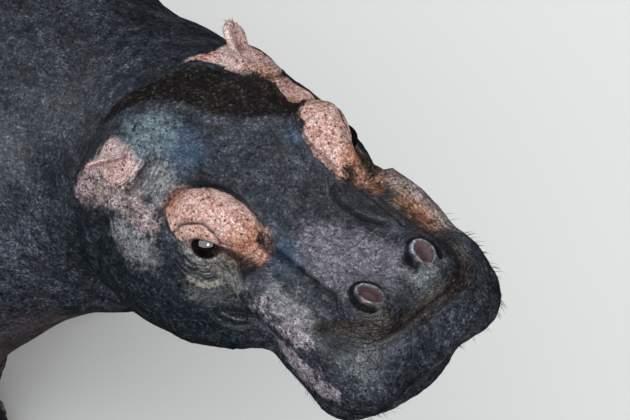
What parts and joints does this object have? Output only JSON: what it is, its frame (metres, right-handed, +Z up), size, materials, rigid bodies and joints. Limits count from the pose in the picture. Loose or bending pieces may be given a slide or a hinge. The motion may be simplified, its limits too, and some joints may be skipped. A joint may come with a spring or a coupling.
{
  "type": "young common hippopotamus, standing, life-size display model",
  "caption": "Life-size still model of a young common hippopotamus standing on all fours, head held level and turned a little to its right.",
  "frame": {"origin": "middle of the animal's bounding box in plan, on the floor under its soles", "axes": "+X from tail to head along the body, +Y to the animal's left, +Z up"},
  "size_m": [1.6554, 0.6248, 0.8155],
  "materials": {
    "hippo_skin": "wet, finely wrinkled and pored slate-grey hide with pink and umber areas",
    "toenail_horn": "worn dull horn",
    "wet_eye": "wet dark brown eye, high gloss"
  },
  "bodies": {
    "root": {"head": "hippo_skin", "jaw": "hippo_skin", "ear_left": "hippo_skin", "ear_right": "hippo_skin", "eye_left": "wet_eye", "eye_right": "wet_eye", "neck": "hippo_skin", "leg_front_left": "hippo_skin", "nail_front_left_1": "toenail_horn", "nail_front_left_2": "toenail_horn", "nail_front_left_3": "toenail_horn", "nail_front_left_4": "toenail_horn", "foot_front_left": "hippo_skin", "leg_front_right": "hippo_skin", "nail_front_right_1": "toenail_horn", "nail_front_right_2": "toenail_horn", "nail_front_right_3": "toenail_horn", "nail_front_right_4": "toenail_horn", "foot_front_right": "hippo_skin", "leg_hind_left": "hippo_skin", "nail_hind_left_1": "toenail_horn", "nail_hind_left_2": "toenail_horn", "nail_hind_left_3": "toenail_horn", "nail_hind_left_4": "toenail_horn", "foot_hind_left": "hippo_skin", "leg_hind_right": "hippo_skin", "nail_hind_right_1": "toenail_horn", "nail_hind_right_2": "toenail_horn", "nail_hind_right_3": "toenail_horn", "nail_hind_right_4": "toenail_horn", "foot_hind_right": "hippo_skin", "tail": "hippo_skin", "trunk": "hippo_skin"}
  },
  "joints": []
}
